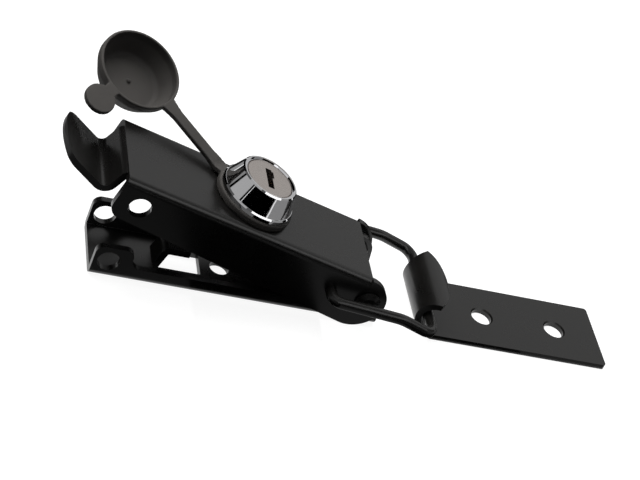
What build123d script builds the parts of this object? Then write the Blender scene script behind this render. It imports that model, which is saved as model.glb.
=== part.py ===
from build123d import *
import math
import os

# Locking draw latch: a base channel, a key-locked lever, a wire bail and a hooked keeper plate.
# Millimetres. Z = 0 is the mounting surface, X runs from the finger tab to the keeper plate,
# and the origin is midway between the two screw holes of the base.

# Sheet and clearances
sheet = 2.0
plate_sheet = 1.8
side_clearance = 0.3
running_clearance = 0.05
bore_clearance = 0.1
slip_clearance = 0.2
loose_clearance = 0.3
bend_inside = 0.25
edge_break = 0.4

# Base channel
base_width = 22.4
base_length = 88.4
screw_spacing = 25.4
screw_from_end = 40.0
base_screw_diameter = 6.0
base_wall_height = 5.0
flap_length = 11.2
flap_height = 11.2
flap_corner = 2.6
flap_root_radius = 3.0
ear_radius = 5.4
window_length = 12.9
window_from_end = 20.8
window_width = 9.4
catch_width = 8.4
catch_height = 8.9
catch_lean = 2.0
catch_lip = 8.0
catch_root = 3.0
catch_root_bend = 1.3
catch_lip_bend = 1.5

# Lever: its lobes' centre stands left of and below the pivot
pivot_from_end = 6.9
pivot_height = 11.0
pivot_forward = 2.8
pivot_rise = 1.4
lobe_radius = 9.0
lever_edge_slope = 3.6
lever_corner = 4.0
closed_tilt = 3.7
rest_opening = 17.4
pin_hole_diameter = 6.6
pin_from_end = 4.45
pin_rise = 0.26
pin_to_lever_end = 7.35
lock_from_pin = 33.95
web_drop = 9.75
web_inset = 0.1
web_lean = 2.4
tab_width = 21.0
tab_length = 17.4
tab_angle = 24.4
tab_end_radius = 24.0
tab_corner = 3.6
web_bend = 1.7
tab_bend = 2.9
tab_root_length = 6.0

# Pivot rivets
rivet_diameter = 5.0
rivet_head_diameter = 7.8
rivet_head_height = 1.5
rivet_tail_height = 1.2
spacer_diameter = 10.0
spacer_thickness = 0.9

# Bail: its eyes stand left of and below the pivot
wire_diameter = 3.4
bail_reach = 12.33
bail_drop = 0.95
bail_half_width = 19.1
bail_end_inset = 0.9
bail_bend_share = 0.66
bail_bend_rise = 1.9
bail_corner = 4.0
bail_eye_corner = 3.0
bail_sweep_radius = 16.0

# Keeper plate
hook_radius = 6.6
hook_clearance = 0.35
bar_rise = 0.2
bar_reach = 22.35
keeper_length = 60.2
keeper_width = 26.0
hook_neck_width = 20.4
hook_edge_reach = 3.9
hook_edge_radius = 19.0
hook_lip_angle = 28.0
keeper_corner = 1.0
keeper_screw_diameter = 6.6
keeper_screw_spacing = 25.4
keeper_end_margin = 15.0
keeper_rim_chamfer = 0.45

# Lock
barrel_wall = 1.4
barrel_flat_wall = 0.5
barrel_depth = 7.6
bezel_flange = 2.6
bezel_lip = 1.5
bezel_step = 0.5
bezel_rim = 1.35
bezel_height = 7.6
bezel_recess = 0.5
plug_diameter = 15.2
plug_chamfer = 0.35
keyway_length = 8.6
keyway_width = 2.0
keyway_depth = 13.0
keyway_step = 1.2
washer_thickness = 0.8
washer_width = 1.8
nut_wall = 2.0
nut_thickness = 3.0
clip_thickness = 0.6
clip_overhang = 1.1
clip_groove_depth = 0.8
cam_thickness = 1.6
cam_reach = 11.0
cam_hub_diameter = 11.0
cam_tip_width = 6.0
cam_square = 6.4
cam_washer_thickness = 0.5
cam_washer_diameter = 9.0
screw_diameter = 3.8
screw_length = 6.0
screw_head_diameter = 7.0
screw_head_height = 1.8
screw_head_corner = 0.8
screw_slot_length = 4.0
screw_slot_width = 0.9
screw_slot_depth = 0.8
wafer_count = 5
wafer_start = 4.0
wafer_pitch = 2.2
wafer_thickness = 1.0
wafer_length = 12.4
wafer_width = 7.4
wafer_slot_width = 4.2

# Dust cap
ring_thickness = 2.2
ring_border = 0.6
strap_thickness = 1.6
strap_width = 3.6
strap_root_width = 4.8
strap_flare = 4.0
strap_flare_radius = 5.0
strap_lift = 0.5
strap_azimuth = 35.1
strap_roll = 20.1
root_gap = 1.2
fold_split = 0.3
cap_distance = 49.2
cap_clearance = 0.3
cap_floor_margin = 0.65
cap_band = 2.4
cap_wall = 0.9
cap_depth = 7.9
cap_floor = 1.2
cap_corner = 1.8
paddle_distance = 18.8
paddle_diameter = 9.2
paddle_neck_width = 4.2
nib_diameter = 1.2
nib_height = 0.8

# Derived places
base_left = -screw_spacing / 2 - screw_from_end
base_half = base_width / 2
base_inner_half = base_half - sheet
lever_inner_half = base_half + spacer_thickness + side_clearance
lever_half = lever_inner_half + sheet
pivot_x = base_left + base_length - pivot_from_end
bend_outside = bend_inside + sheet
rest_tilt = rest_opening - closed_tilt
wire_radius = wire_diameter / 2
bar_x = pivot_x + bar_reach
hook_x = bar_x + hook_radius - plate_sheet - wire_radius - hook_clearance
bar_z = hook_radius + bar_rise
plug_radius = plug_diameter / 2
barrel_diameter = plug_diameter + 2 * barrel_wall
barrel_flats = plug_diameter + 2 * barrel_flat_wall
bezel_diameter = barrel_diameter + 2 * bezel_flange
bezel_top_diameter = plug_diameter + 2 * bezel_rim
washer_diameter = barrel_diameter + 2 * washer_width
nut_flats = barrel_diameter + 2 * nut_wall
clip_diameter = plug_diameter + 2 * clip_overhang
ring_diameter = bezel_diameter + 2 * ring_border
cap_inner_diameter = bezel_diameter + 2 * cap_clearance
cap_floor_diameter = bezel_top_diameter + 2 * cap_floor_margin
screw_places = [-screw_spacing / 2, screw_spacing / 2]

# The lever's pin holes meet the flap holes when it is shut; its other places follow from them
shut_tilt = math.radians(closed_tilt)
pin_x = base_left + pin_from_end
pin_reach = (pivot_x - pin_x - pin_rise * math.sin(shut_tilt)) / math.cos(shut_tilt)
pin_z = pivot_height - pin_reach * math.sin(shut_tilt) + pin_rise * math.cos(shut_tilt)
lever_pin_x = pivot_forward - pin_reach
lever_length = pin_to_lever_end - lever_pin_x
lock_reach = -lever_pin_x - lock_from_pin
web_top_reach = lever_length - web_inset
web_reach = web_top_reach + web_lean


def save(shape, name):
    export_step(shape, "parts/" + name + ".step")


def side_solid(outline, half_width):
    # An XZ outline thickened equally to both sides of the centre plane.
    return extrude(Plane.XZ * outline, half_width, both=True)


def cross_bore(x, z, radius, half_width):
    # A round hole along Y.
    return Pos(x, 0, z) * Rot(90, 0, 0) * Cylinder(radius, 2 * half_width)


def channel_solid(half_width, top, depth, start, end):
    # A folded channel that opens downward, with the bends along its top.
    outer = Pos(0, top - depth / 2) * Rectangle(2 * half_width, depth)
    outer = fillet(outer.vertices().group_by(Axis.Y)[-1], bend_outside)
    inner = Pos(0, top - sheet - depth / 2) * Rectangle(2 * (half_width - sheet), depth)
    inner = fillet(inner.vertices().group_by(Axis.Y)[-1], bend_inside)
    return Pos(start, 0, 0) * extrude(Plane.YZ * (outer - inner), end - start)


def strip_solid(points, radii, width, thickness):
    # Folded strip: a flat section carried along a path of XZ points with round bends.
    corners = [Vector(x, 0, z) for x, z in points]
    path = FilletPolyline(*corners, radius=radii)
    section = Plane(origin=corners[0], x_dir=(0, 1, 0), z_dir=corners[1] - corners[0])
    return sweep(section * Rectangle(width, thickness), path=path)


def on_lever(shape):
    # From lever coordinates, with the lobes' centre as origin and the top level, to the open rest pose.
    turned = Rot(0, rest_tilt, 0) * Pos(-pivot_forward, 0, -pivot_rise) * shape
    return Pos(pivot_x, 0, pivot_height) * turned


def on_lock(shape):
    # From lock coordinates, with Z = 0 on the lever's top face at the lock's axis.
    return on_lever(Pos(-lock_reach, 0, lobe_radius) * shape)


# Base channel: side outline, folded walls, window, lanced catch and holes
def make_base():
    right = base_left + base_length
    wall_length = pivot_x - base_left
    outline = Rectangle(wall_length, base_wall_height)
    outline = Pos(base_left + wall_length / 2, base_wall_height / 2) * outline
    flap = Pos(base_left + flap_length / 2, flap_height / 2) * Rectangle(flap_length, flap_height)
    flap = fillet(flap.vertices().group_by(Axis.Y)[-1], flap_corner)
    span = math.hypot(right - pivot_x, sheet - pivot_height)
    touch = math.atan2(sheet - pivot_height, right - pivot_x) + math.acos(ear_radius / span)
    ear = make_face(Polyline(
        (pivot_x - ear_radius, 0),
        (right, 0),
        (right, sheet),
        (pivot_x + ear_radius * math.cos(touch), pivot_height + ear_radius * math.sin(touch)),
        (pivot_x, pivot_height),
        (pivot_x - ear_radius, pivot_height),
        close=True,
    ))
    outline = outline + flap + ear + Pos(pivot_x, pivot_height) * Circle(ear_radius)
    steps = [v for v in outline.vertices() if abs(v.Y - base_wall_height) < 1e-6]
    roots = [v for v in steps if base_left < v.X < pivot_x]
    outline = fillet(roots, flap_root_radius)
    tall = flap_height + pivot_height
    folded = Rot(180, 0, 0) * channel_solid(base_half, 0, tall + ear_radius, base_left, right)
    base = folded & side_solid(outline, base_half)
    window_x = base_left + window_from_end + window_length / 2
    base -= Pos(window_x, 0, 0) * Box(window_length, window_width, 4 * sheet)
    for x in screw_places:
        base -= Pos(x, 0, sheet / 2) * Cylinder(base_screw_diameter / 2, 2 * sheet)
    base -= cross_bore(pin_x, pin_z, pin_hole_diameter / 2, 2 * base_half)
    base -= cross_bore(pivot_x, pivot_height, rivet_diameter / 2, 2 * base_half)
    catch_x = base_left + window_from_end - sheet / 2
    catch_path = [
        (catch_x - catch_root, sheet / 2),
        (catch_x, sheet / 2),
        (catch_x + catch_lean, catch_height - sheet / 2),
        (base_left + window_from_end + catch_lip, catch_height - sheet / 2),
    ]
    catch = strip_solid(catch_path, [catch_root_bend, catch_lip_bend], catch_width, sheet)
    return base + catch


# Lever: folded channel with round pivot lobes, and a web that flares into the finger tab
def make_lever():
    slope = math.radians(lever_edge_slope)
    low_right = (-lobe_radius * math.sin(slope), -lobe_radius * math.cos(slope))
    low_left = (-lever_length, -lobe_radius / math.cos(slope) + lever_length * math.tan(slope))
    corners = [(-lever_length, lobe_radius), (0, lobe_radius), (0, 0), low_right, low_left]
    wall = make_face(Polyline(*corners, close=True))
    corner = wall.vertices().sort_by(Axis.X)[:2].sort_by(Axis.Y)[0]
    wall = fillet(corner, lever_corner)
    outline = wall + Circle(lobe_radius)
    whole = side_solid(outline, lever_half)
    lever = whole & channel_solid(lever_half, lobe_radius, 3 * lobe_radius, -lever_length, 0)
    lobes = whole & Pos(lobe_radius, 0, 0) * Box(2 * lobe_radius, 3 * lever_half, 4 * lobe_radius)
    lobes -= Box(4 * lobe_radius, 2 * lever_inner_half, 4 * lobe_radius)
    lever += lobes
    angle = math.radians(tab_angle)
    web_x = -web_reach
    web_z = lobe_radius - web_drop
    tab_path = [
        (-web_top_reach + tab_root_length, lobe_radius - sheet / 2),
        (-web_top_reach, lobe_radius - sheet / 2),
        (web_x, web_z),
        (web_x - tab_length * math.cos(angle), web_z + tab_length * math.sin(angle)),
    ]
    tab = strip_solid(tab_path, [web_bend, tab_bend], tab_width, sheet)
    tab_tip = web_x - tab_length * math.cos(angle)
    end = Pos(tab_tip + tab_end_radius, 0) * Circle(tab_end_radius)
    end = end & (Pos(tab_tip + tab_length, 0) * Rectangle(2 * tab_length, tab_width))
    end = fillet(end.vertices().group_by(Axis.X)[0], tab_corner)
    tab = tab & extrude(end, 4 * lobe_radius, both=True)
    lever += tab
    eye_x = pivot_forward - bail_reach
    eye_z = pivot_rise - bail_drop
    lever -= cross_bore(pivot_forward, pivot_rise, rivet_diameter / 2 + running_clearance, 2 * lever_half)
    lever -= cross_bore(eye_x, eye_z, wire_radius + running_clearance, 2 * lever_half)
    lever -= cross_bore(lever_pin_x, pivot_rise + pin_rise, pin_hole_diameter / 2, 2 * lever_half)
    lever -= Pos(-lock_reach, 0, lobe_radius) * Cylinder(barrel_diameter / 2 + slip_clearance, 4 * sheet)
    return on_lever(lever)


# Pivot rivet: domed outer head, shank and formed tail inside the base wall
def make_rivet(side):
    radius = rivet_diameter / 2
    head_start = lever_half + loose_clearance
    tail_end = base_inner_half
    head_edge = rivet_head_diameter / 2
    head_end = head_start + rivet_head_height
    section = Polyline(
        (0, tail_end - rivet_tail_height),
        (head_edge - edge_break, tail_end - rivet_tail_height),
        (head_edge, tail_end - rivet_tail_height + edge_break),
        (head_edge, tail_end),
        (radius, tail_end),
        (radius, head_start),
        (head_edge, head_start),
        (head_edge, head_start + edge_break),
        (0.6 * head_edge, head_end - 0.15 * rivet_head_height),
        (0.3 * head_edge, head_end),
        (0, head_end),
        close=True,
    )
    rivet = revolve(make_face(section), Axis.Y)
    turn = 0 if side > 0 else 180
    return Pos(pivot_x, 0, pivot_height) * Rot(0, 0, turn) * rivet


# Spacer: a plain ring on the rivet between the base's ear and the lever's lobe
def make_spacer(side):
    ring = Cylinder(spacer_diameter / 2, spacer_thickness)
    ring -= Cylinder(rivet_diameter / 2, 2 * spacer_thickness)
    middle = side * (base_half + spacer_thickness / 2)
    return Pos(pivot_x, middle, pivot_height) * Rot(90, 0, 0) * ring


# The bail's eyes in the lever at rest
def bail_eye_place():
    tilt = math.radians(rest_tilt)
    x = pivot_x - bail_reach * math.cos(tilt) - bail_drop * math.sin(tilt)
    z = pivot_height + bail_reach * math.sin(tilt) - bail_drop * math.cos(tilt)
    return x, z


# Bail: one bent wire from eye to eye, arched over the pivot lobes
def make_bail():
    eye_x, eye_z = bail_eye_place()
    end_y = lever_inner_half - bail_end_inset
    bend_x = eye_x + bail_bend_share * (bar_x - eye_x)
    bend_z = eye_z + bail_bend_share * (bar_z - eye_z) + bail_bend_rise
    near = [
        (eye_x, -end_y, eye_z),
        (eye_x, -bail_half_width, eye_z),
        (bend_x, -bail_half_width, bend_z),
        (bar_x, -bail_half_width, bar_z),
    ]
    far = [(x, -y, z) for x, y, z in reversed(near)]
    radii = [bail_eye_corner, bail_sweep_radius, bail_corner]
    path = FilletPolyline(*near, *far, radius=radii + radii[::-1])
    start = Plane(origin=near[0], z_dir=(0, -1, 0))
    return sweep(start * Circle(wire_radius), path=path)


# Keeper plate: flat plate whose narrowed end curls up and over the bail's crossbar
def make_keeper():
    right = hook_x + keeper_length
    curl = Circle(hook_radius) - Circle(hook_radius - plate_sheet)
    far = 3 * hook_radius
    lip = math.radians(hook_lip_angle)
    opening = make_face(Polyline(
        (0, 0),
        (0, -far),
        (far, -far),
        (far * math.cos(lip), far * math.sin(lip)),
        close=True,
    ))
    curl = Pos(hook_x, hook_radius) * (curl - opening)
    flat = Pos(hook_x + keeper_length / 2, plate_sheet / 2) * Rectangle(keeper_length, plate_sheet)
    keeper = side_solid(curl + flat, keeper_width / 2)
    hook_left = hook_x - hook_radius
    plan = make_face(Polyline(
        (hook_left, hook_neck_width / 2),
        (hook_x, keeper_width / 2),
        (right, keeper_width / 2),
        (right, -keeper_width / 2),
        (hook_x, -keeper_width / 2),
        (hook_left, -hook_neck_width / 2),
        close=True,
    ))
    plan = fillet(plan.vertices().group_by(Axis.X)[-1], keeper_corner)
    keeper = keeper & extrude(plan, 3 * hook_radius, both=True)
    edge_x = hook_x + hook_edge_reach
    upper = Box(4 * hook_radius, 2 * keeper_width, 2 * hook_radius)
    upper = Pos(edge_x + hook_radius, 0, 2 * hook_radius) * upper
    kept = Pos(edge_x - hook_edge_radius, 0, hook_radius) * Cylinder(hook_edge_radius, 4 * hook_radius)
    keeper -= upper - kept
    for place in keeper_screw_places():
        keeper -= Pos(place, 0, plate_sheet / 2) * Cylinder(keeper_screw_diameter / 2, 2 * plate_sheet)
        hole_radius = keeper_screw_diameter / 2
        rim = Cone(hole_radius, hole_radius + keeper_rim_chamfer, keeper_rim_chamfer)
        keeper -= Pos(place, 0, plate_sheet - keeper_rim_chamfer / 2) * rim
    return keeper


def keeper_screw_places():
    last = hook_x + keeper_length - keeper_end_margin
    return [last - keeper_screw_spacing, last]


# Lock housing: bezel cone over a flatted barrel, bored for the plug
def make_housing():
    foot = ring_thickness
    top = foot + bezel_height
    lip_edge = bezel_diameter / 2
    top_edge = bezel_top_diameter / 2
    profile = Polyline(
        (0, -barrel_depth),
        (barrel_diameter / 2, -barrel_depth),
        (barrel_diameter / 2, foot),
        (lip_edge, foot),
        (lip_edge, foot + bezel_lip - edge_break),
        (lip_edge - edge_break, foot + bezel_lip),
        (lip_edge - bezel_step, foot + bezel_lip),
        (top_edge, top - edge_break),
        (top_edge - edge_break, top),
        (0, top),
        close=True,
    )
    housing = revolve(Plane.XZ * make_face(profile), Axis.Z)
    flat_cut = Box(2 * barrel_diameter, barrel_diameter, barrel_depth)
    for side in (-1, 1):
        flat_y = side * (barrel_flats / 2 + barrel_diameter / 2)
        housing -= Pos(0, flat_y, -sheet - barrel_depth / 2) * flat_cut
    bore = plug_radius + running_clearance
    housing -= Cylinder(bore, 4 * (top + barrel_depth))
    housing -= Pos(0, 0, top) * Cylinder(bore + bezel_recess, 2 * bezel_recess)
    return on_lock(housing)


def plug_face_height():
    return ring_thickness + bezel_height - bezel_recess


# Heights down the lock's tail, from the barrel's end to the screw head
def tail_heights():
    clip_top = -barrel_depth - loose_clearance
    cam_top = clip_top - clip_thickness - slip_clearance
    cam_bottom = cam_top - cam_thickness
    washer_bottom = cam_bottom - cam_washer_thickness
    return clip_top, cam_top, cam_bottom, washer_bottom


# Plug: slotted for the wafers, with the keyway across the lever and a square tail
def make_plug():
    clip_top, cam_top, cam_bottom, washer_bottom = tail_heights()
    face = plug_face_height()
    plug = Pos(0, 0, (face + cam_top) / 2) * Cylinder(plug_radius, face - cam_top)
    plug = chamfer(plug.edges().group_by(Axis.Z)[-1], plug_chamfer)
    groove_radius = plug_radius - clip_groove_depth
    groove = Cylinder(2 * plug_radius, clip_thickness) - Cylinder(groove_radius, clip_thickness)
    plug -= Pos(0, 0, clip_top - clip_thickness / 2) * groove
    tail = cam_top - cam_bottom - bore_clearance
    plug += Pos(0, 0, cam_top - tail / 2) * Box(cam_square, cam_square, tail)
    bore_length = screw_length + 2 * slip_clearance
    plug -= Pos(0, 0, cam_bottom + screw_length / 2) * Cylinder(screw_diameter / 2, bore_length)
    plug -= Pos(0, 0, face) * Box(keyway_width, keyway_length, 2 * keyway_depth)
    step = Box(keyway_step, keyway_length / 3, 2 * keyway_depth)
    plug -= Pos(keyway_width / 2, keyway_length / 4, face) * step
    slot_width = wafer_width + bore_clearance
    slot_length = wafer_length + bore_clearance
    for height in wafer_heights():
        plug -= Pos(0, 0, height) * Box(slot_width, slot_length, wafer_thickness + bore_clearance)
    return on_lock(plug)


def wafer_heights():
    first = plug_face_height() - wafer_start
    return [first - wafer_pitch * index for index in range(wafer_count)]


def make_wafer(height):
    wafer = Box(wafer_width, wafer_length, wafer_thickness)
    wafer -= Box(wafer_slot_width, keyway_length + 2 * loose_clearance, 2 * wafer_thickness)
    return on_lock(Pos(0, 0, height) * wafer)


def make_clip():
    clip_top = tail_heights()[0]
    inner = plug_radius - clip_groove_depth
    clip = Cylinder(clip_diameter / 2, clip_thickness) - Cylinder(inner, 2 * clip_thickness)
    clip -= Pos(0, clip_diameter / 2, 0) * Box(inner, clip_diameter, 2 * clip_thickness)
    return on_lock(Pos(0, 0, clip_top - clip_thickness / 2) * clip)


def make_washer():
    washer = Cylinder(washer_diameter / 2, washer_thickness)
    washer -= Cylinder(barrel_diameter / 2 + bore_clearance, 2 * washer_thickness)
    return on_lock(Pos(0, 0, -sheet - washer_thickness / 2) * washer)


def make_nut():
    across_corners = nut_flats / math.cos(math.pi / 6)
    hexagon = extrude(RegularPolygon(across_corners / 2, 6), nut_thickness)
    rounded = Pos(0, 0, nut_thickness / 2) * Cylinder(across_corners / 2 - edge_break, nut_thickness)
    nut = (hexagon & rounded) - Cylinder(barrel_diameter / 2, 4 * nut_thickness)
    return on_lock(Pos(0, 0, -sheet - washer_thickness - nut_thickness) * nut)


# Cam: round hub and a finger that points across the lever while the lock is open
def make_cam():
    cam_bottom = tail_heights()[2]
    tip_round = cam_tip_width / 2
    outline = Circle(cam_hub_diameter / 2)
    finger = Pos(0, -(cam_reach - tip_round) / 2) * Rectangle(cam_tip_width, cam_reach - tip_round)
    outline = outline + finger + Pos(0, tip_round - cam_reach) * Circle(tip_round)
    hole = cam_square + 2 * running_clearance
    outline = outline - Rectangle(hole, hole)
    return on_lock(Pos(0, 0, cam_bottom) * extrude(outline, cam_thickness))


def make_cam_washer():
    washer_bottom = tail_heights()[3]
    washer = Circle(cam_washer_diameter / 2) - Circle(screw_diameter / 2 + bore_clearance)
    return on_lock(Pos(0, 0, washer_bottom) * extrude(washer, cam_washer_thickness))


def make_cam_screw():
    washer_bottom = tail_heights()[3]
    head = Cylinder(screw_head_diameter / 2, screw_head_height)
    head = Pos(0, 0, washer_bottom - screw_head_height / 2) * head
    head = fillet(head.edges().group_by(Axis.Z)[0], screw_head_corner)
    slot_z = washer_bottom - screw_head_height
    slot = Box(screw_slot_length, screw_slot_width, 2 * screw_slot_depth)
    for angle in (0, 90):
        head -= Pos(0, 0, slot_z) * Rot(0, 0, angle) * slot
    shank = Pos(0, 0, washer_bottom + screw_length / 2) * Cylinder(screw_diameter / 2, screw_length)
    return on_lock(head + shank)


# Dust cap, laid flat along the lever's top: X runs from the lock's axis along the strap
fold_distance = cap_distance / 2
root_distance = ring_diameter / 2 + root_gap
strap_top = strap_lift + strap_thickness
cap_outer = cap_inner_diameter / 2 + cap_wall


def along_strap(shape):
    return Rot(0, 0, 180 - strap_azimuth) * shape


def roll_cap(shape):
    # The rest pose rolls the strap about a line through its root, along the lever.
    turn = math.radians(180 - strap_azimuth)
    x, y, z = root_distance * math.cos(turn), root_distance * math.sin(turn), strap_lift + strap_thickness / 2
    return Pos(x, y, z) * Rot(strap_roll, 0, 0) * Pos(-x, -y, -z) * shape


def make_cap_ring():
    ring = Pos(0, 0, ring_thickness / 2) * Cylinder(ring_diameter / 2, ring_thickness)
    ring = fillet(ring.edges().group_by(Axis.Z)[-1], edge_break)
    root = Pos(root_distance / 2, 0, strap_lift + strap_thickness / 2)
    ring += along_strap(root * Box(root_distance - fold_split, strap_root_width, strap_thickness))
    ring -= Cylinder(barrel_diameter / 2 + bore_clearance, 4 * ring_thickness)
    return on_lock(ring)


def make_cap_strap():
    start = root_distance
    end = fold_distance - fold_split / 2
    half_root = strap_root_width / 2
    half_strap = strap_width / 2
    flare = start + strap_flare
    outline = make_face(Polyline(
        (start, half_root),
        (flare, half_strap),
        (end, half_strap),
        (end, -half_strap),
        (flare, -half_strap),
        (start, -half_root),
        close=True,
    ))
    waist = [v for v in outline.vertices() if abs(v.X - flare) < 1e-6]
    outline = fillet(waist, strap_flare_radius)
    strap = along_strap(Pos(0, 0, strap_lift) * extrude(outline, strap_thickness))
    return on_lock(roll_cap(strap))


def make_cap_cup():
    start = fold_distance + fold_split / 2
    half_strap = strap_width / 2
    half_root = strap_root_width / 2
    foot = cap_distance - cap_outer + cap_wall
    flare = foot - strap_flare
    tail = make_face(Polyline(
        (start, half_strap),
        (flare, half_strap),
        (foot, half_root),
        (foot, -half_root),
        (flare, -half_strap),
        (start, -half_strap),
        close=True,
    ))
    waist = [v for v in tail.vertices() if abs(v.X - flare) < 1e-6]
    tail = fillet(waist, strap_flare_radius)
    neck_middle = (cap_outer + paddle_distance) / 2
    neck = Rectangle(paddle_neck_width, paddle_distance - cap_outer + 2)
    paddle = Pos(0, neck_middle) * neck + Pos(0, paddle_distance) * Circle(paddle_diameter / 2)
    flat = tail + Pos(cap_distance, 0) * (Circle(cap_outer) + paddle)
    flat = flat - Pos(cap_distance, 0) * Circle(cap_inner_diameter / 2)
    sheet_part = Pos(0, 0, strap_lift) * extrude(flat, strap_thickness)
    band = strap_top - cap_band
    floor_edge = cap_floor_diameter / 2
    floor_top = strap_top - cap_depth
    profile = make_face(Polyline(
        (0, floor_top - cap_floor),
        (floor_edge + cap_wall, floor_top - cap_floor),
        (cap_outer, band),
        (cap_outer, strap_top),
        (cap_inner_diameter / 2, strap_top),
        (cap_inner_diameter / 2, band),
        (floor_edge, floor_top),
        (0, floor_top),
        close=True,
    ))
    low = profile.vertices().group_by(Axis.Y)[0].sort_by(Axis.X)[-1]
    cup = revolve(Plane.XZ * fillet(low, cap_corner), Axis.Z)
    cup += Pos(0, 0, floor_top + nib_height / 2) * Cylinder(nib_diameter / 2, nib_height)
    cup = Pos(cap_distance, 0, 0) * cup + sheet_part
    return on_lock(roll_cap(along_strap(cup)))


def build():
    os.makedirs("parts", exist_ok=True)
    save(make_base(), "base_bracket")
    save(make_rivet(-1), "pivot_rivet_near")
    save(make_rivet(1), "pivot_rivet_far")
    save(make_spacer(-1), "pivot_spacer_near")
    save(make_spacer(1), "pivot_spacer_far")
    save(make_lever(), "lever_handle")
    save(make_bail(), "bail")
    save(make_keeper(), "keeper_plate")
    save(make_housing(), "lock_housing")
    save(make_washer(), "lock_washer")
    save(make_nut(), "lock_nut")
    save(make_plug(), "lock_plug")
    save(make_clip(), "plug_clip")
    save(make_cam(), "lock_cam")
    save(make_cam_washer(), "cam_washer")
    save(make_cam_screw(), "cam_screw")
    for index, height in enumerate(wafer_heights()):
        save(make_wafer(height), "lock_wafer_" + str(index + 1))
    save(make_cap_ring(), "cap_ring")
    save(make_cap_strap(), "cap_strap")
    save(make_cap_cup(), "cap_cup")


build()
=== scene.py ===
import math

import bpy
from mathutils import Matrix, Quaternion, Vector


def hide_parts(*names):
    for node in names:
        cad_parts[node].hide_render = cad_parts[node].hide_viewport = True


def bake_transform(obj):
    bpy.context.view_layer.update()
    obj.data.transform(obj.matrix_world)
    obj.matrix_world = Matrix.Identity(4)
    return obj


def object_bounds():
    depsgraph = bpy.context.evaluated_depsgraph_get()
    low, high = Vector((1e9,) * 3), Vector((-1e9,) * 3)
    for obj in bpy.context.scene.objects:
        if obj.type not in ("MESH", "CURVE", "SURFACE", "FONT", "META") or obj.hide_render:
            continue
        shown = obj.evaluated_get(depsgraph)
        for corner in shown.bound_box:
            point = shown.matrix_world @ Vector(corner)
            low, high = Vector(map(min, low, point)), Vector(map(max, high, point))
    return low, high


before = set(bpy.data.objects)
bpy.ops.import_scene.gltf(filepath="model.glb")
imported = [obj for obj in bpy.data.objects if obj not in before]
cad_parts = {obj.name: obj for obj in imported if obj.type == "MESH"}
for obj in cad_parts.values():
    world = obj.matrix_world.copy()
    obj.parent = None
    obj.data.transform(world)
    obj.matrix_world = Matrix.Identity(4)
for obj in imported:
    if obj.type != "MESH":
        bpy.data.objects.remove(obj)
cadLow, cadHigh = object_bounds()
print("frame loaded,", len(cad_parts), "nodes")

mm = 0.001

# where the lock sits on the opened lever
leverPlace = {
    "pivot": (28.8, 0.0, 11.0),
    "tilt": 13.7,
    "lockReach": 43.244,
    "topHeight": 7.6,
}


def lockMatrix():
    pivot = Matrix.Translation(Vector(leverPlace["pivot"]) * mm)
    tilt = Matrix.Rotation(math.radians(leverPlace["tilt"]), 4, "Y")
    reach = Matrix.Translation(Vector((-leverPlace["lockReach"], 0, leverPlace["topHeight"])) * mm)
    return pivot @ tilt @ reach


# modelling helpers

def deselectAll():
    if bpy.context.object and bpy.context.object.mode != "OBJECT":
        bpy.ops.object.mode_set(mode="OBJECT")
    bpy.ops.object.select_all(action="DESELECT")


def pick(*pieces):
    deselectAll()
    for piece in pieces:
        piece.select_set(True)
    bpy.context.view_layer.objects.active = pieces[0]


def named(name):
    piece = bpy.context.object
    piece.name = name
    piece.data.name = name
    return piece


def applyPlace(piece):
    pick(piece)
    bpy.ops.object.transform_apply(location=True, rotation=True, scale=True)


def applyModifier(piece, kind, **settings):
    pick(piece)
    modifier = piece.modifiers.new(kind.title(), kind)
    for key, value in settings.items():
        setattr(modifier, key, value)
    bpy.ops.object.modifier_apply(modifier=modifier.name)


def selectRim():
    bpy.ops.mesh.select_mode(type="EDGE")
    bpy.ops.mesh.select_all(action="DESELECT")
    bpy.ops.mesh.select_non_manifold(extend=False)


def turned(name, profile, sides, solid):
    # a circle extruded and resized step by step up a profile of (radius, height)
    radius, height = profile[0]
    fill = "TRIFAN" if solid else "NOTHING"
    deselectAll()
    bpy.ops.mesh.primitive_circle_add(
        vertices=sides, radius=radius * mm, location=(0, 0, height * mm), fill_type=fill)
    piece = named(name)
    bpy.ops.object.mode_set(mode="EDIT")
    selectRim()
    for nextRadius, nextHeight in profile[1:]:
        rise = (0, 0, (nextHeight - height) * mm)
        bpy.ops.mesh.extrude_region_move(TRANSFORM_OT_translate={"value": rise})
        grow = nextRadius / radius
        bpy.ops.transform.resize(value=(grow, grow, 1), center_override=(0, 0, nextHeight * mm))
        radius, height = nextRadius, nextHeight
    if solid:
        bpy.ops.mesh.merge(type="CENTER")
    bpy.ops.mesh.select_all(action="SELECT")
    bpy.ops.mesh.remove_doubles(threshold=0.001 * mm)
    bpy.ops.mesh.normals_make_consistent(inside=False)
    applyPlace(piece)
    return piece


def slab(name, low, high, cuts=0):
    # a box from corner to corner, cut evenly
    deselectAll()
    middle = [(a + b) / 2 * mm for a, b in zip(low, high)]
    size = [(b - a) * mm for a, b in zip(low, high)]
    bpy.ops.mesh.primitive_cube_add(size=1, location=middle, scale=size)
    piece = named(name)
    applyPlace(piece)
    if cuts:
        bpy.ops.object.mode_set(mode="EDIT")
        bpy.ops.mesh.select_all(action="SELECT")
        bpy.ops.mesh.subdivide(number_cuts=cuts)
        bpy.ops.object.mode_set(mode="OBJECT")
    return piece


def easeStep(value, start, end):
    share = min(1.0, max(0.0, (value - start) / (end - start)))
    return share * share * (3 - 2 * share)


# shader helpers

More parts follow.
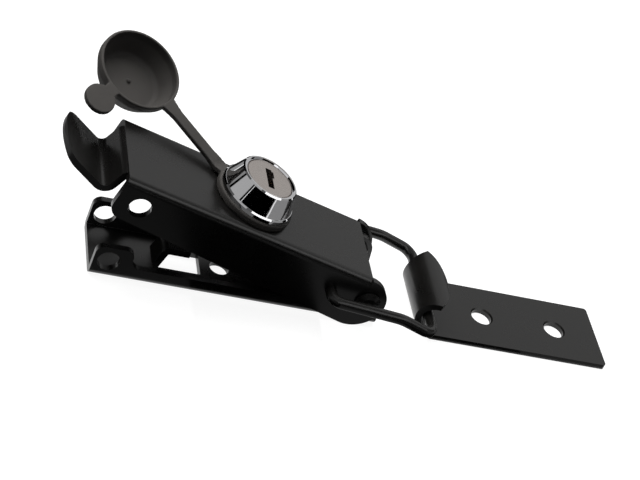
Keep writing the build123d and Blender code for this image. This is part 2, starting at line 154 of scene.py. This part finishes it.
def newGroup(name, inputs, outputs):
    group = bpy.data.node_groups.new(name, "ShaderNodeTree")
    for socketName, kind, value in inputs:
        socket = group.interface.new_socket(socketName, in_out="INPUT", socket_type=kind)
        if value is not None:
            socket.default_value = value
    for socketName, kind in outputs:
        group.interface.new_socket(socketName, in_out="OUTPUT", socket_type=kind)
    nodes = group.nodes
    return group, nodes.new("NodeGroupInput"), nodes.new("NodeGroupOutput")


def addNode(tree, kind, **settings):
    node = tree.nodes.new(kind)
    for key, value in settings.items():
        if key in node.inputs:
            node.inputs[key].default_value = value
        else:
            setattr(node, key, value)
    return node


def calc(tree, operation, first, second, clamp=False):
    node = addNode(tree, "ShaderNodeMath", operation=operation, use_clamp=clamp)
    for index, value in enumerate((first, second)):
        if isinstance(value, (int, float)):
            node.inputs[index].default_value = value
        else:
            tree.links.new(value, node.inputs[index])
    return node.outputs[0]


def spread(tree, value, low, high, toLow, toHigh):
    node = tree.nodes.new("ShaderNodeMapRange")
    tree.links.new(value, node.inputs["Value"])
    node.inputs["From Min"].default_value = low
    node.inputs["From Max"].default_value = high
    node.inputs["To Min"].default_value = toLow
    node.inputs["To Max"].default_value = toHigh
    return node.outputs["Result"]


grainShape = {
    "pitScale": 1.7,
    "pitReach": 0.35,
    "pitDepth": -0.25,
    "toneScale": 55.0,
    "toneBand": (0.3, 0.7),
}
lineBand = (0.35, 0.65)


# orange peel and pin-prick texture of a sprayed coat: height for the bump, tone from 0 to 1
def coatGrainGroup(shape):
    group, inlet, outlet = newGroup(
        "coatGrain",
        [("Vector", "NodeSocketVector", None), ("Scale", "NodeSocketFloat", 900.0)],
        [("Height", "NodeSocketFloat"), ("Tone", "NodeSocketFloat")],
    )
    links = group.links
    peel = addNode(group, "ShaderNodeTexNoise", Detail=3.0, Roughness=0.55)
    links.new(inlet.outputs["Vector"], peel.inputs["Vector"])
    links.new(inlet.outputs["Scale"], peel.inputs["Scale"])
    pits = addNode(group, "ShaderNodeTexVoronoi")
    links.new(inlet.outputs["Vector"], pits.inputs["Vector"])
    links.new(calc(group, "MULTIPLY", inlet.outputs["Scale"], shape["pitScale"]), pits.inputs["Scale"])
    shallow = spread(group, pits.outputs["Distance"], 0.0, shape["pitReach"], shape["pitDepth"], 0.0)
    links.new(calc(group, "ADD", peel.outputs["Fac"], shallow), outlet.inputs["Height"])
    broad = addNode(group, "ShaderNodeTexNoise", Scale=shape["toneScale"], Detail=4.0, Roughness=0.6)
    links.new(inlet.outputs["Vector"], broad.inputs["Vector"])
    links.new(spread(group, broad.outputs["Fac"], *shape["toneBand"], 0.0, 1.0), outlet.inputs["Tone"])
    return group


# fine lines along one direction: height for the bump and a 0 to 1 line mask
def brushedLineGroup():
    group, inlet, outlet = newGroup(
        "brushedLine",
        [("Vector", "NodeSocketVector", None), ("Across", "NodeSocketFloat", 6000.0),
         ("Along", "NodeSocketFloat", 120.0)],
        [("Height", "NodeSocketFloat"), ("Line", "NodeSocketFloat")],
    )
    links = group.links
    stretch = group.nodes.new("ShaderNodeVectorMath")
    stretch.operation = "MULTIPLY"
    factors = group.nodes.new("ShaderNodeCombineXYZ")
    links.new(inlet.outputs["Along"], factors.inputs["X"])
    links.new(inlet.outputs["Across"], factors.inputs["Y"])
    links.new(inlet.outputs["Across"], factors.inputs["Z"])
    links.new(inlet.outputs["Vector"], stretch.inputs[0])
    links.new(factors.outputs[0], stretch.inputs[1])
    lines = addNode(group, "ShaderNodeTexNoise", Scale=1.0, Detail=2.0, Roughness=0.5)
    links.new(stretch.outputs[0], lines.inputs["Vector"])
    links.new(lines.outputs["Fac"], outlet.inputs["Height"])
    links.new(spread(group, lines.outputs["Fac"], *lineBand, 0.0, 1.0), outlet.inputs["Line"])
    return group


coatGrain = coatGrainGroup(grainShape)
brushedLine = brushedLineGroup()


def newMaterial(name, **sockets):
    material = bpy.data.materials.new(name)
    material.use_nodes = True
    tree = material.node_tree
    tree.nodes.clear()
    shader = tree.nodes.new("ShaderNodeBsdfPrincipled")
    output = tree.nodes.new("ShaderNodeOutputMaterial")
    tree.links.new(shader.outputs["BSDF"], output.inputs["Surface"])
    for key, value in sockets.items():
        shader.inputs[key].default_value = value
    place = tree.nodes.new("ShaderNodeTexCoord")
    return material, tree, shader, place.outputs["Object"]


def placeGroup(tree, group, vector, **values):
    node = tree.nodes.new("ShaderNodeGroup")
    node.node_tree = group
    tree.links.new(vector, node.inputs["Vector"])
    for key, value in values.items():
        node.inputs[key].default_value = value
    return node


def tintByMask(tree, mask, dark, light, socket):
    mix = addNode(tree, "ShaderNodeMix", data_type="RGBA")
    tree.links.new(mask, mix.inputs["Factor"])
    colours = [candidate for candidate in mix.inputs if candidate.type == "RGBA"]
    colours[0].default_value = (*dark, 1)
    colours[1].default_value = (*light, 1)
    result = [candidate for candidate in mix.outputs if candidate.type == "RGBA"][0]
    tree.links.new(result, socket)


def bumpFrom(tree, height, shader, strength, distance):
    bump = tree.nodes.new("ShaderNodeBump")
    bump.inputs["Strength"].default_value = strength
    bump.inputs["Distance"].default_value = distance * mm
    tree.links.new(height, bump.inputs["Height"])
    tree.links.new(bump.outputs["Normal"], shader.inputs["Normal"])


coatIndex = 1.5
coatDepth = 0.05
lineDepth = 0.02
dullShare = 0.94

steelCoat = {
    "dark": (0.0046, 0.0044, 0.0042),
    "light": (0.0070, 0.0067, 0.0063),
    "smooth": 0.25,
    "rough": 0.32,
    "level": 0.42,
    "grain": 1400.0,
    "bump": 0.06,
}


def coatMaterial(name, look):
    sockets = {"IOR": coatIndex, "Specular IOR Level": look["level"]}
    material, tree, shader, place = newMaterial(name, **sockets)
    grain = placeGroup(tree, coatGrain, place, Scale=look["grain"])
    tintByMask(tree, grain.outputs["Tone"], look["dark"], look["light"], shader.inputs["Base Color"])
    rough = spread(tree, grain.outputs["Tone"], 0, 1, look["smooth"], look["rough"])
    tree.links.new(rough, shader.inputs["Roughness"])
    bumpFrom(tree, grain.outputs["Height"], shader, look["bump"], coatDepth)
    return material


wireCoat = dict(steelCoat, smooth=0.22, rough=0.30, grain=1800.0)

capRubber = {
    "dark": (0.050, 0.047, 0.0445),
    "light": (0.064, 0.0605, 0.057),
    "smooth": 0.55,
    "rough": 0.68,
    "level": 0.14,
    "grain": 2600.0,
    "bump": 0.18,
}

metalLooks = {
    "bezelChrome": {"color": (0.76, 0.76, 0.77), "smooth": 0.03, "rough": 0.07, "lines": 0.0},
    "plugNickel": {"color": (0.53, 0.485, 0.455), "smooth": 0.24, "rough": 0.33, "lines": 0.02},
    "zincPlate": {"color": (0.52, 0.53, 0.55), "smooth": 0.28, "rough": 0.42, "lines": 0.12},
    "waferBrass": {"color": (0.60, 0.44, 0.19), "smooth": 0.25, "rough": 0.38, "lines": 0.12},
}


def metalMaterial(name, look):
    material, tree, shader, place = newMaterial(name, Metallic=1.0)
    turn = tree.nodes.new("ShaderNodeMapping")  # lines run along the lever, round the lock's centre
    turn.vector_type = "TEXTURE"
    turn.inputs["Location"].default_value = lockMatrix().translation
    turn.inputs["Rotation"].default_value = (0, math.radians(leverPlace["tilt"]), 0)
    tree.links.new(place, turn.inputs["Vector"])
    lines = placeGroup(tree, brushedLine, turn.outputs["Vector"], Across=5200.0, Along=260.0)
    color = look["color"]
    dull = tuple(part * dullShare for part in color)
    tintByMask(tree, lines.outputs["Line"], dull, color, shader.inputs["Base Color"])
    rough = spread(tree, lines.outputs["Line"], 0, 1, look["smooth"], look["rough"])
    tree.links.new(rough, shader.inputs["Roughness"])
    if look["lines"]:
        bumpFrom(tree, lines.outputs["Height"], shader, look["lines"], lineDepth)
    return material


materials = {
    "coatedSteel": coatMaterial("coatedSteel", steelCoat),
    "coatedWire": coatMaterial("coatedWire", wireCoat),
    "capRubber": coatMaterial("capRubber", capRubber),
}
for finish, finishLook in metalLooks.items():
    materials[finish] = metalMaterial(finish, finishLook)

nodeFinishes = {
    "coatedSteel": [
        "base_bracket", "lever_handle", "keeper_plate", "pivot_rivet_near", "pivot_rivet_far",
    ],
    "coatedWire": ["bail"],
    "capRubber": ["cap_ring", "cap_strap", "cap_cup"],
    "bezelChrome": ["lock_housing"],
    "plugNickel": ["lock_plug"],
    "zincPlate": [
        "lock_washer", "lock_nut", "plug_clip", "lock_cam", "cam_washer", "cam_screw",
        "pivot_spacer_near", "pivot_spacer_far",
    ],
    "waferBrass": ["lock_wafer_" + str(index) for index in range(1, 6)],
}


def dress(piece, finish):
    if not piece.material_slots:
        piece.data.materials.append(materials[finish])
    for place in piece.material_slots:
        place.material = materials[finish]


for finish, nodeNames in nodeFinishes.items():
    for nodeName in nodeNames:
        dress(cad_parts[nodeName], finish)
print("materials placed")

# rubber dust cap: collar round the lock, strap and cup, one moulding
capShape = {
    "boreRadius": 9.1,
    "collarRadius": 12.2,
    "collarHeight": 2.2,
    "collarEdge": 0.4,
    "strapLow": 0.5,
    "strapHigh": 2.1,
    "strapHalf": 1.8,
    "rootHalf": 2.5,
    "rootDistance": 13.4,
    "rootFlare": (-1.0, 4.5),
    "tailFlare": (-4.0, 1.0),
    "rollBand": (-1.2, 3.0),
    "strapCuts": 40,
    "strapSink": 1.0,
    "foldDistance": 24.6,
    "cupDistance": 49.2,
    "cupRadius": 12.8,
    "cupInner": 11.9,
    "cupBand": -0.3,
    "rimEdge": 0.2,
    "baseRadius": 10.1,
    "floorRadius": 9.3,
    "cupBottom": -6.4,
    "cupFloor": -5.5,
    "bottomRound": [(-1.8, 0.0), (-0.4, 0.5), (0.3, 1.5)],
    "floorRound": [(0.3, 0.7), (-0.7, 0.0)],
    "paddleDistance": 18.8,
    "paddleRadius": 4.6,
    "paddleSides": 64,
    "neckHalf": 2.1,
    "neckSink": 0.6,
    "nibRadius": 0.6,
    "nibHeight": 0.8,
    "azimuth": 35.1,
    "roll": 20.1,
    "splitAt": 18.0,
    "splitEase": 0.6,
    "foldEase": (-1.0, 6.0),
    "sides": 96,
    "voxel": 0.26,
    "smoothShare": 0.5,
    "smoothRounds": 6,
    "sharpAngle": 50.0,
}


def makeCapMoulding(shape):
    low, high = shape["strapLow"], shape["strapHigh"]
    bore, outer, top = shape["boreRadius"], shape["collarRadius"], shape["collarHeight"]
    edge = shape["collarEdge"]
    collar = turned("capCollar", [
        (bore, 0), (outer, 0), (outer, top - edge), (outer - edge, top), (bore, top), (bore, 0),
    ], shape["sides"], solid=False)
    bottom, floor = shape["cupBottom"], shape["cupFloor"]
    radius, inner = shape["cupRadius"], shape["cupInner"]
    nib = shape["nibRadius"]
    base, lowest, band = shape["baseRadius"], shape["floorRadius"], shape["cupBand"]
    edge = shape["rimEdge"]
    outside = [(base + out, bottom + up) for out, up in shape["bottomRound"]]
    inside = [(lowest + out, floor + up) for out, up in shape["floorRound"]]
    cup = turned("capCup", [
        *outside, (radius, band), (radius, high - edge), (radius - edge, high), (inner, high),
        (inner, band), *inside, (nib, floor),
        (nib, floor + shape["nibHeight"]), (nib / 2, floor + shape["nibHeight"]),
    ], shape["sides"], solid=True)
    cup.data.transform(Matrix.Translation((shape["cupDistance"] * mm, 0, 0)))
    half = shape["strapHalf"]
    middle = shape["cupDistance"]
    start = bore + shape["strapSink"]
    strap = slab("capStrap", (start, -half, low), (middle - inner, half, high), shape["strapCuts"])
    rootEnds = [shape["rootDistance"] + step for step in shape["rootFlare"]]
    tailEnds = [middle - radius + step for step in shape["tailFlare"]]
    for vertex in strap.data.vertices:  # the strap widens into the collar and into the cup
        along = vertex.co.x / mm
        flare = max(1 - easeStep(along, *rootEnds), easeStep(along, *tailEnds))
        vertex.co.y *= 1 + (shape["rootHalf"] / half - 1) * flare
    neck = shape["neckHalf"]
    reach = shape["paddleDistance"]
    sunk = radius - shape["neckSink"]
    tab = slab("capNeck", (middle - neck, sunk, low), (middle + neck, reach, high))
    deselectAll()
    bpy.ops.mesh.primitive_cylinder_add(
        vertices=shape["paddleSides"], radius=shape["paddleRadius"] * mm, depth=(high - low) * mm,
        location=(middle * mm, reach * mm, (low + high) / 2 * mm))
    paddle = named("capPaddle")
    applyPlace(paddle)
    pick(collar, cup, strap, tab, paddle)
    bpy.ops.object.join()
    collar.name = "capMoulding"
    applyModifier(collar, "REMESH", mode="VOXEL", voxel_size=shape["voxel"] * mm)
    applyModifier(collar, "SMOOTH", factor=shape["smoothShare"], iterations=shape["smoothRounds"])
    return collar


def placeCapPoint(point, shape):
    # from the flat moulding to the rest pose, rolled about a line through the strap's root
    turn = Matrix.Rotation(math.radians(180 - shape["azimuth"]), 3, "Z")
    root = turn @ Vector((shape["rootDistance"], 0, 0)) * mm
    root.z = (shape["strapLow"] + shape["strapHigh"]) / 2 * mm
    share = easeStep(point.x / mm, *(shape["rootDistance"] + step for step in shape["rollBand"]))
    roll = Matrix.Rotation(math.radians(shape["roll"]) * share, 3, "X")
    return lockMatrix() @ (root + roll @ (turn @ point - root))


def keepSide(piece, splitAt, beyond):
    pick(piece)
    bpy.ops.object.mode_set(mode="EDIT")
    bpy.ops.mesh.select_all(action="SELECT")
    bpy.ops.mesh.bisect(
        plane_co=(splitAt * mm, 0, 0), plane_no=(1, 0, 0), use_fill=True,
        clear_inner=beyond, clear_outer=not beyond)
    bpy.ops.object.mode_set(mode="OBJECT")


def makeCap(shape):
    moulding = makeCapMoulding(shape)
    pick(moulding)
    bpy.ops.object.duplicate()
    lid = named("capLid")
    moulding.name = "capCollar"
    keepSide(moulding, shape["splitAt"], beyond=False)
    keepSide(lid, shape["splitAt"], beyond=True)
    for piece in (moulding, lid):
        for vertex in piece.data.vertices:
            vertex.co = placeCapPoint(vertex.co.copy(), shape)
        piece.data.update()
        pick(piece)
        bpy.ops.object.shade_smooth_by_angle(angle=math.radians(shape["sharpAngle"]))
        dress(piece, "capRubber")
    middle = (shape["strapLow"] + shape["strapHigh"]) / 2

    def along(distance):
        return placeCapPoint(Vector((distance, 0, middle)) * mm, shape)

    rootStart = along(shape["collarRadius"] + shape["collarEdge"])
    rootEnd = along(shape["splitAt"] - shape["splitEase"])
    foldStart, foldEnd = (along(shape["foldDistance"] + step) for step in shape["foldEase"])
    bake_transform(moulding)
    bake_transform(lid)
    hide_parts("cap_ring", "cap_strap")
    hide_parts("cap_cup")


makeCap(capShape)
print("dust cap made")

# studio: white floor, soft lamps that reflections don't see, and a dark tent and cards that they do
studio = {
    "azimuth": -23.743,
    "elevation": 35.602,
    "roll": 25.205,
    "distance": 0.53966,
    "aim": (0.01816, 0.01185, 0.010),
    "lens": 100.125,
    "clip": (0.01, 20.0),
    "floorSize": 6.0,
    "floorColor": (0.9, 0.9, 0.9, 1),
    "floorGlow": 0.72,
    "glowStrength": 1.28,
    "ambient": 0.06,
}

lamps = {
    "topSoftbox": {"place": (-0.15, 0.40, 0.85), "size": (1.1, 0.8), "power": 17.0},
    "leftSoftbox": {"place": (-0.80, -0.25, 0.50), "size": (0.5, 0.5), "power": 0.1},
    "rightSoftbox": {"place": (0.75, -0.30, 0.55), "size": (0.5, 0.5), "power": 0.3},
}

# azimuth from the front towards the left, elevation above the floor, both in degrees
cards = {
    "greyLeft": {"turn": (58, 104), "rise": (-2, 26), "distance": 1.15, "tone": 0.46},
    "whiteStrip": {"turn": (50, 52), "rise": (-2, 26), "distance": 1.15, "tone": 0.9},
    "greyBack": {"turn": (112, 138), "rise": (-2, 20), "distance": 1.15, "tone": 0.28},
    "greyRight": {"turn": (-94, -52), "rise": (-2, 26), "distance": 1.15, "tone": 0.30},
    "glowLow": {"turn": (-184, -112), "rise": (6, 29), "distance": 1.15, "tone": 0.56},
    "glowHigh": {"turn": (-184, -112), "rise": (29, 55), "distance": 1.15, "tone": 0.72},
    "frontStrip": {"turn": (-75, 20), "rise": (34, 58), "distance": 1.15, "tone": 1.7},
    "leftStrip": {"turn": (20, 85), "rise": (36, 52), "distance": 1.16, "tone": 0.9},
    "rightStrip": {"turn": (-125, -75), "rise": (36, 52), "distance": 1.16, "tone": 0.9},
}

# the tent hides the white world from reflections, and the floor patches hide the floor near the latch
tent = {"radius": 1.9, "height": 1.9, "tone": 0.0, "roofTone": 0.10, "sides": 48}
roofGlow = {"radius": 0.9, "height": 1.85, "tone": 0.45}
patchLow, patchHigh = 0.0001, 0.0002
floorPatches = {
    "patchLeft": {"low": (-0.60, -0.60), "high": (-0.022, -0.0125), "tone": 0.13},
    "patchMiddle": {"low": (-0.022, -0.60), "high": (0.018, -0.0125), "tone": 0.0},
    "patchRight": {"low": (0.018, -0.60), "high": (0.045, -0.0125), "tone": 0.26},
    "patchFar": {"low": (0.045, -0.60), "high": (0.085, -0.0135), "tone": 0.02},
    "patchEdge": {"low": (0.085, -0.60), "high": (0.60, -0.0135), "tone": 0.27},
    "patchSide": {"low": (-0.60, -0.0125), "high": (-0.085, 0.040), "tone": 0.40},
    "patchBack": {"low": (-0.60, 0.040), "high": (-0.050, 0.60), "tone": 0.32},
    "patchBehind": {"low": (-0.05, 0.035), "high": (0.50, 0.60), "tone": 0.02},
}


def seenRay(tree):
    # 1 for the camera, mirror reflections and glass, 0 for light on the object
    ray = tree.nodes.new("ShaderNodeLightPath")
    direct = calc(tree, "ADD", ray.outputs["Is Camera Ray"], ray.outputs["Is Glossy Ray"], clamp=True)
    return calc(tree, "ADD", direct, ray.outputs["Is Transmission Ray"], clamp=True)


def makeFloor(name, size):
    deselectAll()
    bpy.ops.mesh.primitive_plane_add(size=size, location=(0, 0, cadLow.z))
    floor = named(name)
    applyPlace(floor)
    material = bpy.data.materials.new("floorWhite")
    material.use_nodes = True
    tree = material.node_tree
    tree.nodes.clear()
    matte = addNode(tree, "ShaderNodeBsdfDiffuse", Color=studio["floorColor"])
    glow = addNode(tree, "ShaderNodeEmission", Color=(1, 1, 1, 1), Strength=studio["glowStrength"])
    mix = tree.nodes.new("ShaderNodeMixShader")
    output = tree.nodes.new("ShaderNodeOutputMaterial")
    share = calc(tree, "MULTIPLY", seenRay(tree), studio["floorGlow"])
    tree.links.new(share, mix.inputs[0])
    tree.links.new(matte.outputs[0], mix.inputs[1])
    tree.links.new(glow.outputs[0], mix.inputs[2])
    tree.links.new(mix.outputs[0], output.inputs["Surface"])
    floor.data.materials.append(material)


def makeWorld():
    world = bpy.data.worlds.new("paleStudio")
    bpy.context.scene.world = world
    world.use_nodes = True
    tree = world.node_tree
    tree.nodes.clear()
    sky = addNode(tree, "ShaderNodeBackground", Color=(1, 1, 1, 1))
    output = tree.nodes.new("ShaderNodeOutputWorld")
    strength = spread(tree, seenRay(tree), 0, 1, studio["ambient"], 1.0)
    tree.links.new(strength, sky.inputs["Strength"])
    tree.links.new(sky.outputs[0], output.inputs["Surface"])


def makeLamp(name, look):
    light = bpy.data.lights.new(name, "AREA")
    light.shape = "RECTANGLE"
    light.size, light.size_y = look["size"]
    light.energy = look["power"]
    lamp = bpy.data.objects.new(name, light)
    bpy.context.scene.collection.objects.link(lamp)
    lamp.location = look["place"]
    lamp.visible_glossy = False
    aim = Vector(studio["aim"]) - lamp.location
    lamp.rotation_euler = aim.to_track_quat("-Z", "Y").to_euler()


def reflectOnly(piece, tone):
    # a plain glowing surface that camera, shadow, diffuse and transmission rays pass by
    piece.visible_camera = False
    piece.visible_diffuse = False
    piece.visible_shadow = False
    piece.visible_transmission = False
    material = bpy.data.materials.new(piece.name)
    material.use_nodes = True
    tree = material.node_tree
    tree.nodes.clear()
    glow = addNode(tree, "ShaderNodeEmission", Color=(1, 1, 1, 1), Strength=tone)
    output = tree.nodes.new("ShaderNodeOutputMaterial")
    tree.links.new(glow.outputs[0], output.inputs["Surface"])
    piece.data.materials.append(material)


def makeCard(name, look):
    turn = math.radians(sum(look["turn"]) / 2)
    spreadTurn = math.radians(look["turn"][1] - look["turn"][0])
    distance = look["distance"]
    low, high = (distance * math.tan(math.radians(angle)) for angle in look["rise"])
    deselectAll()
    bpy.ops.mesh.primitive_plane_add(
        size=1,
        location=(-math.sin(turn) * distance, -math.cos(turn) * distance, (low + high) / 2),
        rotation=(math.radians(90), 0, -turn))
    card = named(name)
    card.scale = (2 * distance * math.tan(spreadTurn / 2), high - low, 1)
    applyPlace(card)
    reflectOnly(card, look["tone"])


def makeTent(look):
    deselectAll()
    bpy.ops.mesh.primitive_cylinder_add(
        vertices=look["sides"], radius=look["radius"], depth=look["height"],
        location=(0, 0, look["height"] / 2), end_fill_type="NOTHING")
    wall = named("tentWall")
    applyPlace(wall)
    reflectOnly(wall, look["tone"])
    makeDisc("tentRoof", look["radius"], look["height"], look["roofTone"])


def makeDisc(name, radius, height, tone):
    deselectAll()
    bpy.ops.mesh.primitive_circle_add(
        vertices=tent["sides"], radius=radius, location=(0, 0, height), fill_type="NGON")
    disc = named(name)
    applyPlace(disc)
    reflectOnly(disc, tone)


def makeFloorPatch(name, look):
    low = [value / mm for value in (*look["low"], cadLow.z + patchLow)]
    high = [value / mm for value in (*look["high"], cadLow.z + patchHigh)]
    patch = slab(name, low, high)
    reflectOnly(patch, look["tone"])
    patch.visible_diffuse = True  # it stands before the floor for bounced light too


def makeCamera():
    azimuth, elevation = math.radians(studio["azimuth"]), math.radians(studio["elevation"])
    back = Vector((
        math.sin(azimuth) * math.cos(elevation),
        -math.cos(azimuth) * math.cos(elevation),
        math.sin(elevation),
    ))
    lens = bpy.data.cameras.new("photoCamera")
    lens.lens = studio["lens"]
    lens.clip_start, lens.clip_end = studio["clip"]
    camera = bpy.data.objects.new("photoCamera", lens)
    bpy.context.scene.collection.objects.link(camera)
    camera.location = Vector(studio["aim"]) + back * studio["distance"]
    camera.rotation_mode = "QUATERNION"
    level = (-back).to_track_quat("-Z", "Y")
    camera.rotation_quaternion = level @ Quaternion((0, 0, 1), math.radians(studio["roll"]))
    bpy.context.scene.camera = camera


makeFloor("whiteFloor", studio["floorSize"])
makeWorld()
for lampName, lampLook in lamps.items():
    makeLamp(lampName, lampLook)
for cardName, cardLook in cards.items():
    makeCard(cardName, cardLook)
makeTent(tent)
makeDisc("roofGlow", roofGlow["radius"], roofGlow["height"], roofGlow["tone"])
for patchName, patchLook in floorPatches.items():
    makeFloorPatch(patchName, patchLook)
makeCamera()
bpy.context.scene.view_settings.view_transform = "Standard"
print("studio set")
